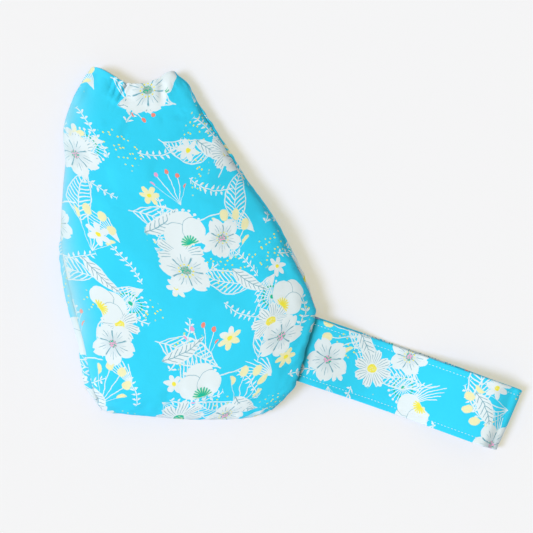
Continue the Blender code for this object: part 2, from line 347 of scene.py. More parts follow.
class FlowerPrint:
    """A tossed print of white garden flowers, leaves and sprigs on a turquoise ground.

    Each kind of motif stands at a few places of a repeat of its own. The repeats differ in
    size, so the whole does not repeat within the pouch, and a flower is painted over what
    lies behind it.
    """

    BLOSSOMS = Motif((108.0, 124.0), (Place(24, 26, 20, 16.5), Place(54, 44, -35, 13.0, 0.6),
                                      Place(80, 92, 62, 14.5, 1.0)))
    POPPIES = Motif((118.0, 101.0), (Place(30, 30, 15, 15.0), Place(86, 72, -60, 13.0, 1.0)))
    COSMOSES = Motif((97.0, 113.0), (Place(24, 26, 8, 15.5), Place(72, 84, 40, 13.0, 1.0)))
    LEAVES = Motif((94.0, 86.0), (Place(18, 20, 35, 15.0), Place(62, 60, -48, 14.0)))
    DRAWN_LEAVES = Motif((101.0, 88.0), (Place(22, 24, -20, 21.0), Place(70, 30, 70, 18.0),
                                         Place(46, 68, 155, 19.0)))
    GRASSES = Motif((89.0, 98.0), (Place(26, 30, 70, 17.0), Place(68, 76, 205, 15.0),
                                   Place(70, 26, 120, 14.0)))
    SPRIGS = Motif((76.0, 84.0), (Place(18, 20, 75, 18.0), Place(54, 36, -30, 16.0),
                                  Place(30, 66, 10, 17.0), Place(64, 72, 120, 15.0)))
    BERRIES = Motif((87.0, 104.0), (Place(30, 64, 100, 15.0), Place(62, 24, 65, 17.0, 1.0),
                                    Place(20, 14, -30, 14.0)))
    CLOCKS = Motif((92.0, 103.0), (Place(30, 34, 200, 13.0), Place(74, 80, 70, 11.0)))
    FLORETS = Motif((71.0, 63.0), (Place(14, 16, 0, 6.8), Place(46, 44, 30, 8.0)))

    def __init__(self, weaver: NodeWeaver, turn: float, shift: tuple[float, float]) -> None:
        """Start the print in a material.

        Args:
            weaver: The material's nodes.
            turn: How far the cloth was turned when it was cut, in degrees.
            shift: Where in the print it was cut, in millimetres.
        """
        self.weaver = weaver
        self.ink = weaver.mixed
        millimetres = weaver.scaled(weaver.turned(weaver.cloth(), turn), 1.0 / MM)
        moved = weaver.shifted(millimetres, (*shift, 0.0))
        self.cloth = self.hand_drawn(self.hand_drawn(moved, 0.11, 2.4), 0.55, 0.55)

    def hand_drawn(self, vector: Any, scale: float, reach: float) -> Any:
        """Coordinates pushed about by noise, so that lines waver as if drawn by hand."""
        noise = self.weaver.noise(vector, scale, 1.0, "Color")
        push = self.weaver.shifted(noise, (0.5, 0.5, 0.5), "SUBTRACT")
        return self.weaver.shifted(vector, self.weaver.scaled(push, reach))

    def nearest(self, motif: Motif) -> Local:
        """Coordinates about the nearest of a motif's places.

        The cloth's coordinates are taken from each place, brought into one repeat about it,
        turned and scaled, and those with the shortest length are kept.
        """
        weave = self.weaver
        kept, kept_reach = None, None
        half = (motif.repeat[0] / 2, motif.repeat[1] / 2, 0.5)
        for place in motif.places:
            away = weave.shifted(self.cloth, (place.x, place.y, 0.0), "SUBTRACT")
            wrapped = weave.vector("WRAP", away, half, tuple(-side for side in half)).outputs[0]
            vector = weave.scaled(weave.turned(wrapped, -place.turn), 1 / place.size)
            reach = Value(weave, weave.vector("LENGTH", vector).outputs[1])
            vector = weave.shifted(vector, (0.0, 0.0, place.dye))
            if kept is None:
                kept, kept_reach = vector, reach
            else:
                kept = weave.mixed_vector(reach.of("LESS_THAN", kept_reach), kept, vector)
                kept_reach = reach & kept_reach
        return Local(kept, *weave.parts(kept), kept_reach)

    def blossoms(self, under: Any) -> Any:
        """Five round petals with a notch, fine veins and a ring of stamens."""
        local = self.nearest(self.BLOSSOMS)
        angle, along, across = petal_axes(local, 5)
        petal = ellipse(along, across, 0.58, 0.42, 0.40).within(1.0, 0.05)
        notch = ellipse(along, across, 1.04, 0.13, 0.07).within(1.0, 0.2)
        mask = (petal | local.reach.within(0.42, 0.02)) * (1.0 - notch)
        shade = self.ink(local.reach.ramped(0.65, 0.2), DYES.petal, DYES.petal_shade)
        colour = self.ink(mask, under, shade)
        gap = angle.size().beyond(math.pi / 5 - 0.055, 0.02) * local.reach.within(0.62, 0.05)
        vein = across.size().within(0.012, 0.008) * along.within(0.70, 0.05) * along.beyond(0.36, 0.04)
        fine = (angle.size() - 0.24).size().within(0.016, 0.012)
        fine = fine * along.within(0.58, 0.04) * along.beyond(0.40, 0.04)
        colour = self.ink((gap | vein | fine * 0.6) * mask * 0.85, colour, DYES.line)
        grain = self.weaver.noise(local.vector, 14.0)
        heart = local.reach.within(0.13 + grain * 0.12, 0.02)
        colour = self.ink(heart, colour, self.ink(local.dye.beyond(0.45, 0.02), DYES.stone, DYES.pink))
        colour = self.ink(heart * grain.beyond(0.52, 0.04), colour, DYES.green)
        beside = local.y.of("ARCTAN2", local.x).folded(2 * math.pi / 11) * local.reach
        stamen = ellipse(local.reach, beside, 0.28, 0.035, 0.032).within(1.0, 0.3)
        return self.ink(stamen * local.dye.within(0.8, 0.02), colour, DYES.yellow)

    def poppies(self, under: Any) -> Any:
        """Broad cups of three round petals, with a drawn edge where one lies over another."""
        local = self.nearest(self.POPPIES)
        far = ellipse(local.x - 0.05, local.y - 0.34, 0.0, 0.62, 0.56)
        left = ellipse(local.x + 0.40, local.y + 0.12, 0.0, 0.56, 0.62)
        right = ellipse(local.x - 0.42, local.y + 0.16, 0.0, 0.52, 0.58)
        colour = under
        for petal in (far, left, right):
            colour = self.ink(petal.within(1.0, 0.05), colour, DYES.line)
            colour = self.ink(petal.within(0.94, 0.05), colour, DYES.petal)
        outside = (far & left & right).beyond(0.90, 0.05)
        colour = self.ink(outside * local.reach.within(1.2, 0.02), colour, under)
        down = local.y + 0.62
        angle, reach = polar(local.x, down)
        ray = (angle.folded(0.36) * reach).size()
        tuft = ray.within(0.035, 0.02) * reach.within(0.40, 0.03) * down.beyond(-0.02, 0.02)
        colour = self.ink(reach.within(0.26, 0.08) * down.beyond(-0.04, 0.03), colour, DYES.pale_yellow)
        return self.ink(tuft, colour, self.ink(local.dye, DYES.green, DYES.yellow))

    def cosmoses(self, under: Any) -> Any:
        """Eight long petals with toothed tips and a full round heart."""
        local = self.nearest(self.COSMOSES)
        angle, along, across = petal_axes(local, 8)
        teeth = (angle * 24.0).of("COSINE") * 0.035
        side = ellipse(along, across, 0.66, 0.46, 0.235).within(1.0, 0.06)
        mask = side * local.reach.within(teeth + 0.96, 0.02) | local.reach.within(0.34, 0.02)
        colour = self.ink(mask, under, DYES.petal)
        stripes = (across / (along * 0.25 + 0.04)).folded(0.62).size().within(0.07, 0.05)
        stripes = stripes * along.beyond(0.30, 0.04) * along.within(0.86, 0.05)
        colour = self.ink(stripes * mask * 0.7, colour, DYES.line)
        grain = self.weaver.noise(local.vector, 11.0)
        heart = local.reach.within(0.20 + grain * 0.08, 0.02)
        colour = self.ink(heart, colour, self.ink(local.dye, DYES.green, DYES.yellow))
        specks = local.reach.within(0.19, 0.02) * grain.beyond(0.52, 0.03)
        return self.ink(specks * 0.7, colour, DYES.pale_yellow)

    def leaves(self, under: Any) -> Any:
        """Filled white leaves with drawn veins."""
        local = self.nearest(self.LEAVES)
        beside = (local.y - local.x * local.x * 0.12).size()
        mask = beside.within(leaf_width(local, 0.33), 0.015)
        colour = self.ink(mask, under, DYES.petal)
        middle = beside.within(0.018, 0.012) * local.x.within(0.9, 0.04)
        veins = (local.x - beside * 1.1).folded(0.24).size().within(0.022, 0.014)
        veins = veins * (leaf_width(local, 0.27) - beside).beyond(0.0, 0.02)
        return self.ink((middle | veins) * mask * 0.8, colour, DYES.line)

    def drawn_leaves(self, under: Any) -> Any:
        """Leaves drawn in white line: an outline, a middle vein and slanting side veins."""
        local = self.nearest(self.DRAWN_LEAVES)
        beside = (local.y + local.x * local.x * 0.16).size()
        depth = leaf_width(local, 0.40) - beside
        outline = depth.size().within(0.020, 0.014)
        middle = beside.within(0.016, 0.012) * local.x.size().within(1.12, 0.02)
        veins = (local.x - beside * 0.9).folded(0.17).size().within(0.026, 0.016) * depth.beyond(0.03, 0.02)
        return self.ink((outline | middle | veins) * local.reach.within(1.2, 0.02), under, DYES.petal)

    def sprigs(self, under: Any) -> Any:
        """A bent stem with pairs of small leaves."""
        local = self.nearest(self.SPRIGS)
        beside = (local.y - local.x * local.x * 0.20).size()
        inside = local.x.size().within(1.0, 0.02)
        stem = beside.within(0.020, 0.014) * inside
        pair = local.x.folded(0.24)
        along = pair * 0.64 + beside * 0.77 - 0.03
        across = beside * 0.64 - pair * 0.77
        taper = 1.15 - local.x.size() * 0.55
        leaf = ellipse(along / taper, across / taper, 0.15, 0.135, 0.046).within(1.0, 0.15) * inside
        return self.ink(stem | leaf, under, DYES.petal)

    def grasses(self, under: Any) -> Any:
        """Long bent blades that fan from one foot, drawn in white."""
        local = self.nearest(self.GRASSES)
        foot = local.x + 1.0
        fan, reach = polar(foot, local.y - foot * foot * 0.16)
        drift = (fan / 0.13).of("ROUND")
        tip = 1.75 - (drift * 2.4).folded(1.3).size() * 0.9
        blade = (fan.folded(0.13) * reach).size().within(0.030 - reach * 0.008, 0.012)
        inside = fan.size().within(0.42, 0.02) * reach.within(tip, 0.02) * foot.beyond(0.0, 0.02)
        return self.ink(blade * inside, under, DYES.petal)

    def berries(self, under: Any) -> Any:
        """Thin stems that fan from one foot, each with a round berry or a pale pod."""
        local = self.nearest(self.BERRIES)
        fan, reach = polar(local.x + 0.95, local.y)
        inside = fan.size().within(0.62, 0.02)
        drift = (fan / 0.31).of("ROUND")
        tip = 1.55 + drift * 0.13 - drift * drift * 0.11
        across = fan.folded(0.31) * reach
        stem = across.size().within(0.016, 0.012) * reach.within(tip, 0.02) * inside
        swelling = local.dye * 0.8 + 1.0
        berry = ellipse((reach - tip) / swelling, across / swelling, 0.05, 0.115, 0.090).within(1.0, 0.15)
        dye = self.ink(drift.beyond(0.2, 0.1), DYES.coral, DYES.pink)
        dye = self.ink(local.dye, dye, DYES.pale_yellow)
        return self.ink(berry * inside, self.ink(stem, under, DYES.petal), dye)

    def clocks(self, under: Any) -> Any:
        """Round seed heads: fine rays with a dot at each tip, on a long thin stem."""
        local = self.nearest(self.CLOCKS)
        angle = local.y.of("ARCTAN2", local.x)
        ray = (angle.folded(2 * math.pi / 20) * local.reach).size()
        rays = ray.within(0.020, 0.015) * local.reach.within(0.84, 0.03) * local.reach.beyond(0.12, 0.03)
        tips = ellipse(local.reach, ray, 0.92, 0.075, 0.075).within(1.0, 0.2)
        inner = ((angle + math.pi / 20).folded(2 * math.pi / 20) * local.reach).size()
        dots = ellipse(local.reach, inner, 0.58, 0.055, 0.055).within(1.0, 0.2)
        bend = (local.y - local.x * local.x * 0.10).size()
        stem = bend.within(0.032, 0.016) * local.x.within(0.0, 0.02) * local.x.beyond(-2.1, 0.05)
        colour = self.ink(rays | tips | stem, under, DYES.petal)
        return self.ink(dots | local.reach.within(0.12, 0.02), colour, DYES.green)

    def florets(self, under: Any) -> Any:
        """Small six-petalled florets with a yellow eye, most of them white."""
        local = self.nearest(self.FLORETS)
        _, along, across = petal_axes(local, 6)
        mask = ellipse(along, across, 0.55, 0.42, 0.24).within(1.0, 0.12) | local.reach.within(0.32, 0.04)
        some = self.weaver.noise(self.cloth, 0.016, 0.0).beyond(0.56, 0.02)
        colour = self.ink(mask, under, self.ink(some, DYES.petal, DYES.pale_yellow))
        return self.ink(local.reach.within(0.20, 0.04), colour, DYES.yellow)

    def seeds(self, under: Any) -> Any:
        """Drifts of small yellow dots."""
        cells = self.weaver.node("ShaderNodeTexVoronoi", {"voronoi_dimensions": "2D"},
                                 {"Vector": self.cloth, "Scale": 0.24})
        near = Value(self.weaver, cells.outputs["Distance"]).within(0.13, 0.03)
        drift = self.weaver.noise(self.cloth, 0.026, 1.0).beyond(0.60, 0.02)
        return self.ink(near * drift, under, DYES.yellow)

    def painted(self) -> Any:
        """The whole print, from the ground up.

        Returns:
            The colour socket.
        """
        colour = self.ink(self.weaver.noise(self.cloth, 0.035, 3.0), DYES.ground, DYES.ground_deep)
        for layer in (self.seeds, self.grasses, self.clocks, self.sprigs, self.drawn_leaves, self.berries,
                      self.leaves, self.florets, self.cosmoses, self.poppies, self.blossoms):
            colour = layer(colour)
        return colour


@dataclass(frozen=True)
class CottonFinish:
    """Plain-weave cotton, printed or plain."""

    name: str
    printed: bool = True
    colour: Colour = tint(244, 244, 240)
    turn: float = 0.0
    shift: tuple[float, float] = (0.0, 0.0)
    thread_pitch: float = 0.42
    roughness: float = 0.82
    sheen: float = 0.03
    crease_shade: float = 0.22

    def material(self) -> bpy.types.Material:
        """Build the finish.

        Returns:
            A material that reads the piece's own cloth coordinates.
        """
        made, weave, shader = new_material(self.name)
        cloth = weave.scaled(weave.cloth(), 1.0 / MM)
        if self.printed:
            colour = FlowerPrint(weave, self.turn, self.shift).painted()
        else:
            darker = tuple(part * 0.93 for part in self.colour)
            colour = weave.mixed(weave.noise(cloth, 0.08), self.colour, darker)
        # Painted highlight: the fade attribute paints the cloth paler along the left side, where the light
        # falls.
        colour = weave.mixed(weave.attribute("fade"), colour, DYES.highlight_pale)
        # Painted shade: the crease attribute darkens the colour where shade falls in seams, folds and at the
        # strap's root.
        painted_shade_colour = weave.scaled(colour, self.crease_shade)
        weave.put(shader.inputs["Base Color"], weave.mixed(weave.attribute("crease"), colour, painted_shade_colour))
        slub = weave.noise(cloth, 0.9, 3.0)
        weave.put(shader.inputs["Roughness"], self.roughness + (slub - 0.5) * 0.16)
        shader.inputs["Sheen Weight"].default_value = self.sheen
        shader.inputs["Sheen Roughness"].default_value = 0.45
        shader.inputs["Specular IOR Level"].default_value = 0.25
        warp, weft, _ = weave.parts(cloth)
        wave = 2 * math.pi / self.thread_pitch
        threads = (warp * wave).of("SINE") * (weft * wave).of("SINE")
        rumple = weave.noise(cloth, 0.10, 3.0)
        weave.bumped(shader, threads * 0.025 + slub * 0.05 + rumple * 0.55, 0.8, MM)
        return made


@dataclass(frozen=True)
class ThreadFinish:
    """White cotton sewing thread."""

    name: str = "white_sewing_thread"
    colour: Colour = tint(246, 248, 248)

    def material(self) -> bpy.types.Material:
        """Build the finish."""
        made, weave, shader = new_material(self.name)
        twist = weave.noise(weave.node("ShaderNodeTexCoord").outputs["Object"], 2600.0, 1.0)
        darker = tuple(part * 0.86 for part in self.colour)
        weave.put(shader.inputs["Base Color"], weave.mixed(twist, self.colour, darker))
        shader.inputs["Roughness"].default_value = 0.55
        weave.bumped(shader, twist, 0.4, 0.1 * MM)
        return made


def linked(name: str, data: bpy.types.ID) -> bpy.types.Object:
    """A new object in the scene."""
    made = bpy.data.objects.new(name, data)
    bpy.context.scene.collection.objects.link(made)
    return made


def mesh_piece(name: str, points: Array, faces: list[list[int]], cloth: Array | None,
               finish: bpy.types.Material, painted_light: dict[str, Array] | None = None) -> bpy.types.Object:
    """A smooth mesh object.

    Args:
        name: The piece's name.
        points: Its vertices, one to a row, in metres.
        faces: Its faces, by vertex number, counter-clockwise from outside.
        cloth: Each vertex's place on the flat cloth, in metres, or None.
        finish: Its material.
        painted_light: Painted light on each vertex: a pale painted highlight along the lit side, and painted
            shade in creases.

    Returns:
        The object, linked to the scene.
    """
    mesh = bpy.data.meshes.new(name)
    mesh.from_pydata(points.tolist(), [], faces)
    mesh.validate()
    if cloth is not None:
        corner = np.empty(len(mesh.loops), dtype=np.int32)
        mesh.loops.foreach_get("vertex_index", corner)
        layer = mesh.uv_layers.new(name="cloth")
        layer.data.foreach_set("uv", cloth[corner].astype(np.float32).ravel())
    for tone, values in (painted_light or {}).items():
        mesh.attributes.new(tone, "FLOAT", "POINT").data.foreach_set("value", values.astype(np.float32))
    mesh.shade_smooth()
    mesh.materials.append(finish)
    return linked(name, mesh)


def grid_normals(points: Array) -> Array:
    """Unit normals of a grid of points, as the cross product of its two directions."""
    down = np.gradient(points, axis=0)
    across = np.gradient(points, axis=1)
    normal = np.cross(down, across)
    return normal / np.maximum(np.linalg.norm(normal, axis=-1, keepdims=True), 1e-12)


def run_length(points: Array, axis: int) -> Array:
    """Length run along one direction of a grid of points."""
    step = np.linalg.norm(np.diff(points, axis=axis), axis=-1)
    start = np.zeros_like(np.take(step, [0], axis=axis))
    return np.concatenate([start, np.cumsum(step, axis=axis)], axis=axis)


@dataclass(frozen=True)
class PouchShape:
    """The stuffed body, as a function of an angle about its long axis and of a row's height."""

    left_side: Curve = (
        (-0.0524, 0.1432), (-0.0572, 0.1355), (-0.0638, 0.1230), (-0.0700, 0.1040), (-0.0686, 0.0800),
        (-0.0702, 0.0500), (-0.0720, 0.0210), (-0.0670, -0.0065), (-0.0600, -0.0330), (-0.0570, -0.0500),
        (-0.0535, -0.0656), (-0.0450, -0.0790),
    )
    right_side: Curve = (
        (0.0042, 0.1440), (0.0104, 0.1365), (0.0195, 0.1205), (0.0312, 0.1020), (0.0488, 0.0741),
        (0.0696, 0.0429), (0.0845, 0.0137), (0.0922, -0.0040), (0.0949, -0.0176), (0.0890, -0.0388),
        (0.0832, -0.0595), (0.0758, -0.0698), (0.0665, -0.0790),
    )
    mouth_edge: Curve = (
        (-0.0524, 0.1432), (-0.0510, 0.1441), (-0.0472, 0.1437), (-0.0424, 0.1416), (-0.0364, 0.1382),
        (-0.0290, 0.1344), (-0.0176, 0.1337), (-0.0078, 0.1366), (-0.0034, 0.1397), (0.0042, 0.1440),
    )
    bottom_edge: Curve = (
        (-0.0450, -0.0790), (-0.0325, -0.0815), (0.0110, -0.0846), (0.0488, -0.0842), (0.0665, -0.0790),
    )
    mouth_dip_reach: float = 0.045
    bottom_bulge_reach: float = 0.050
    widest_at_mouth: float = 0.0075
    widest_at_body: float = 0.0120
    widest_at_bottom: float = 0.0095
    widest_fade: float = 0.022
    crown_at_mouth: float = 0.0078
    crown_at_body: float = 0.0195
    swell_length: float = 0.120
    belly_press: float = 0.0040
    press_round: float = 0.0020
    closing_length: float = 0.062
    section_power: float = 2.5
    closing_power: float = 2.2
    left_seam_lift: float = 0.0085
    left_seam_fade: float = 0.010
    left_seam_fall: tuple[float, float, float] = (0.008, 0.060, 0.80)
    right_seam_lift: float = 0.0050
    right_seam_fade: float = 0.045
    horn_reach: float = 0.012
    horn_round: tuple[float, float] = (0.0, 0.0034)
    horn_share: float = 0.30
    tuck_x: float = -0.0310
    tuck_depth: float = 0.0014
    tuck_width: float = 0.0050
    tuck_length: float = 0.0120
    strap_middle_y: float = -0.0388
    strap_half_width: float = 0.0203
    slot_ease: float = 0.0035
    slot_half_height: float = 0.0024

    @property
    def mouth_y(self) -> float:
        """Height of the tops of the side seams."""
        return self.mouth_edge[0][1]

    @property
    def bottom_y(self) -> float:
        """Height of the bottom corners."""
        return self.bottom_edge[0][1]

    def side_x(self, side: Curve, y: Array) -> Array:
        """Where a side's curve stands at y."""
        curve = smooth_curve(side)
        return np.interp(y, curve[::-1, 1], curve[::-1, 0])

    def edge_drop(self, edge: Curve, across: Array) -> Array:
        """How far an edge's curve stands off its ends, from its left end at -1 to its right at 1."""
        curve = smooth_curve(edge)
        x = curve[0, 0] + (curve[-1, 0] - curve[0, 0]) * (1 + across) / 2
        return np.interp(x, curve[:, 0], curve[:, 1]) - curve[0, 1]

    def swell(self, y: Array) -> Array:
        """How far the body has swollen below the mouth, from 0 to 1."""
        return smooth_step((self.mouth_y - y) / self.swell_length)

    def closing(self, distance: Array) -> Array:
        """Share of the full height at a distance from the bottom edge, a superellipse."""
        near = np.clip(1.0 - distance / self.closing_length, 0.0, 1.0)
        return (1.0 - near**self.closing_power) ** (1.0 / self.closing_power)

    def widest(self, y: Array) -> Array:
        """Height of the widest line above the table."""
        body = self.widest_at_mouth + (self.widest_at_body - self.widest_at_mouth) * self.swell(y)
        to_bottom = 1.0 - smooth_step((y - self.bottom_y) / self.widest_fade)
        return body + (self.widest_at_bottom - self.widest_at_body) * to_bottom

    def crown(self, y: Array) -> Array:
        """Height of the crown above the widest line."""
        return self.crown_at_mouth + (self.crown_at_body - self.crown_at_mouth) * self.swell(y)

    def belly(self, y: Array) -> Array:
        """Depth of the belly below the widest line, before the table presses it flat."""
        return self.widest(y) + self.belly_press * self.swell(y)

    def pressed(self, height: Array, floor: float) -> Array:
        """Height held at the floor, with a rounded start to the flat patch."""
        above = height - floor
        rounded = (np.clip(above, -self.press_round, self.press_round) + self.press_round) ** 2
        return floor + np.where(above > self.press_round, above, rounded / (4 * self.press_round))

    def angle_at(self, share: Array) -> Array:
        """Angle from the crown at which a section stands at a share of its height."""
        held = np.clip(share, -1.0, 1.0)
        return np.arccos(np.sign(held) * np.abs(held) ** (self.section_power / 2))

    def left_seam(self, y: Array) -> Array:
        """Height of the left seam above the widest line, as a share of the crown, least at the mouth."""
        start, length, fall = self.left_seam_fall
        rise = smooth_step((y - self.bottom_y) / self.left_seam_fade)
        lowered = 1 - fall * smooth_step((y - start) / length)
        return self.left_seam_lift / self.crown_at_body * rise * lowered

    def right_seam(self, y: Array) -> Array:
        """Height of the right seam above the widest line, as a share of the crown."""
        above = y - self.strap_middle_y - self.strap_half_width - self.slot_ease
        return self.right_seam_lift / self.crown_at_body * smooth_step(above / self.right_seam_fade)

    def slot(self, y: Array) -> Array:
        """How far the right seam is open for the strap, from 0 to 1."""
        beyond = np.abs(y - self.strap_middle_y) - self.strap_half_width
        return 1.0 - smooth_step(beyond / self.slot_ease)

    def seam_angles(self, front: bool, y: Array) -> tuple[Array, Array]:
        """Angles of a panel's two side seams in each row.

        Args:
            front: True for the upper panel.
            y: Height of each row.

        Returns:
            Angles of the left and of the right seam.
        """
        height = (self.crown(y) if front else self.belly(y)) * self.closing(y - self.bottom_y)
        open_by = self.slot_half_height * self.slot(y) / np.maximum(height, MM)
        left = -self.angle_at(self.left_seam(y))
        if front:
            return left, self.angle_at(self.right_seam(y) + open_by)
        return left + 2 * math.pi, self.angle_at(self.right_seam(y) - open_by)

    def points(self, angle: Array, row_y: Array, inset: float) -> Array:
        """Points of the body, inset from its outer face.

        Each row is a superellipse from side to side, with the crown's height above the widest
        line and the belly's depth below it. Near the mouth the rows follow its dip, and near
        the bottom they follow the bottom edge, where the heights close like an ellipse.
        """
        length = self.mouth_y - self.bottom_y
        y = self.mouth_y - (self.mouth_y - row_y) * (length - inset) / length
        left = self.side_x(self.left_side, y) + inset
        right = self.side_x(self.right_side, y) - inset
        sine, cosine = np.sin(angle), np.cos(angle)
        across = np.sign(sine) * np.abs(sine) ** (2 / self.section_power)
        rise = np.sign(cosine) * np.abs(cosine) ** (2 / self.section_power)
        share = self.closing(y - self.bottom_y - inset)
        height = np.where(cosine > 0, self.crown(row_y), self.belly(row_y)) - inset
        z = self.pressed(self.widest(row_y) + height * share * rise, inset)
        x = (left + right) / 2 + (right - left) / 2 * across
        by_mouth = 1.0 - smooth_step((self.mouth_y - row_y) / self.mouth_dip_reach)
        by_bottom = 1.0 - smooth_step((row_y - self.bottom_y) / self.bottom_bulge_reach)
        dip = self.edge_drop(self.mouth_edge, across) * by_mouth
        bulge = self.edge_drop(self.bottom_edge, across) * by_bottom
        by_horn = 1.0 - smooth_step((self.mouth_y - row_y) / self.horn_reach)
        for side, drop in zip((-1, 1), self.horn_round):
            near = np.clip((side * across - 1 + self.horn_share) / self.horn_share, 0, 1)
            dip = dip - drop * near**2.5 * by_horn
        mouth_left, mouth_right = self.mouth_edge[0][0], self.mouth_edge[-1][0]
        mouth_x = mouth_left + (mouth_right - mouth_left) * (1 + across) / 2
        tuck = self.tuck_depth * bell(mouth_x - self.tuck_x, self.tuck_width) * np.clip(rise, 0, 1)
        tuck = tuck * (1 - smooth_step((self.mouth_y + dip - row_y) / self.tuck_length))
        return np.stack([x, y + dip + bulge, z - tuck], axis=-1)


@dataclass(frozen=True)
class Rumples:
    """Relief of sewn and stuffed cloth, measured outwards from the smooth body."""

    crease_depth: float = 0.0010
    crease_width: float = 0.0010
    left_crease: tuple[float, float] = (-0.0002, 0.0008)
    left_crease_ends: tuple[float, float] = (-0.005, -0.045)
    slot_crease: float = 0.0012
    slot_roll: float = 0.0004
    slot_roll_at: float = 0.0030
    slot_roll_width: float = 0.0018
    roll_height: float = 0.0004
    roll_at: float = 0.0055
    roll_width: float = 0.0035
    pucker_height: float = 0.00038
    pucker_reach: float = 0.010
    pucker_length: float = 0.0085
    wave_height: float = 0.00038
    gather_x: float = -0.0284
    gather_slant: float = 0.36
    gather_reach: float = 0.0110
    gather_folds: tuple[tuple[float, float, float], ...] = (
        (0.0, -0.0018, 0.0006), (0.0019, 0.0010, 0.0013), (-0.0019, 0.0012, 0.0012),
        (-0.0039, -0.0010, 0.0008), (-0.0057, 0.0008, 0.0013), (-0.0076, -0.0005, 0.0009),
    )
    valley: tuple[float, float, float, float] = (-0.0055, 0.1300, 0.0009, 0.0022)
    bulge: tuple[float, float, float, float] = (-0.0012, 0.1290, 0.0008, 0.0026)
    dent_length: float = 0.0070
    notch_depth: float = 0.0016
    notch_width: float = 0.0013
    notch_reach: float = 0.0030
    mouth_ripple: float = 0.00022

    def puckers(self, distance: Array, along: Array, seed: int) -> Array:
        """Short folds that start at a seam and fade away from it."""
        rng = np.random.default_rng(seed)
        waves = np.zeros_like(along)
        for scale in (0.78, 1.0, 1.37):
            phase = rng.uniform(0, 2 * math.pi)
            drift = 1.6 * np.sin(along / (0.031 * scale) + rng.uniform(0, 2 * math.pi))
            waves += np.cos(2 * math.pi * along / (self.pucker_length * scale) + phase + drift)
        fade = np.exp(-distance / self.pucker_reach) * (1 - np.exp(-distance / 0.0015))
        strength = 0.6 + 0.4 * np.sin(along / 0.019 + rng.uniform(0, 6))
        return self.pucker_height * waves / 1.8 * fade * strength

    def waves(self, cloth: Array, seed: int) -> Array:
        """Soft broad waves, a sum of sines in chosen random directions."""
        rng = np.random.default_rng(seed)
        total = np.zeros(cloth.shape[:2])
        for length in np.geomspace(0.022, 0.085, 14):
            heading = rng.uniform(0, math.pi)
            phase = rng.uniform(0, 2 * math.pi)
            run = cloth[..., 0] * math.cos(heading) + cloth[..., 1] * math.sin(heading)
            total += np.sin(2 * math.pi * run / length + phase) * (length / 0.085) ** 0.8
        return self.wave_height * total / 2.6

    def gathers(self, points: Array, from_mouth: Array) -> Array:
        """Small folds where the front is gathered at the mouth."""
        x = points[..., 0]
        away = self.from_gather(points, from_mouth)
        folds = sum(height * bell(away - place, width) for place, height, width in self.gather_folds)
        ripple = np.sin(2 * math.pi * x / 0.0115) * np.exp(-from_mouth / 0.010)
        return folds * bell(from_mouth, self.gather_reach) + self.mouth_ripple * ripple

    def dents(self, points: Array) -> Array:
        """A soft valley and the bulge beside it, to the right of the mouth's dip."""
        total = np.zeros(points.shape[:2])
        for (x, y, height, width), sign in ((self.valley, -1), (self.bulge, 1)):
            near = bell(points[..., 0] - x, width) * bell(points[..., 1] - y, self.dent_length)
            total += sign * height * near
        return total

    def from_gather(self, points: Array, from_mouth: Array) -> Array:
        """Distance across from the deepest fold, which leans as it goes down."""
        return points[..., 0] - self.gather_x + self.gather_slant * from_mouth

    def notch(self, points: Array, from_mouth: Array) -> Array:
        """How far the rim is drawn in where the deepest fold starts."""
        away = self.from_gather(points, from_mouth)
        return self.notch_depth * bell(away, self.notch_width) * np.exp(-from_mouth / self.notch_reach)


def blurred(grid: Array, passes: int) -> Array:
    """A grid of numbers smoothed by passes of the weights 1, 2, 1 both ways."""
    for _ in range(passes):
        for axis in (0, 1):
            padded = np.concatenate([np.take(grid, [0], axis), grid, np.take(grid, [-1], axis)], axis=axis)
            count = padded.shape[axis]
            before, middle, after = (np.take(padded, np.arange(start, count - 2 + start), axis)
                                     for start in range(3))
            grid = (before + 2 * middle + after) / 4
    return grid


def resampled(grid: Array, rows: int, columns: int) -> Array:
    """A grid of numbers brought to another count of rows and columns."""
    down = np.linspace(0.0, grid.shape[0] - 1.0, rows)
    across = np.linspace(0.0, grid.shape[1] - 1.0, columns)
    longer = np.stack([np.interp(down, np.arange(grid.shape[0]), column) for column in grid.T], axis=1)
    full = np.stack([np.interp(across, np.arange(grid.shape[1]), row) for row in longer])
    return blurred(full, 4)


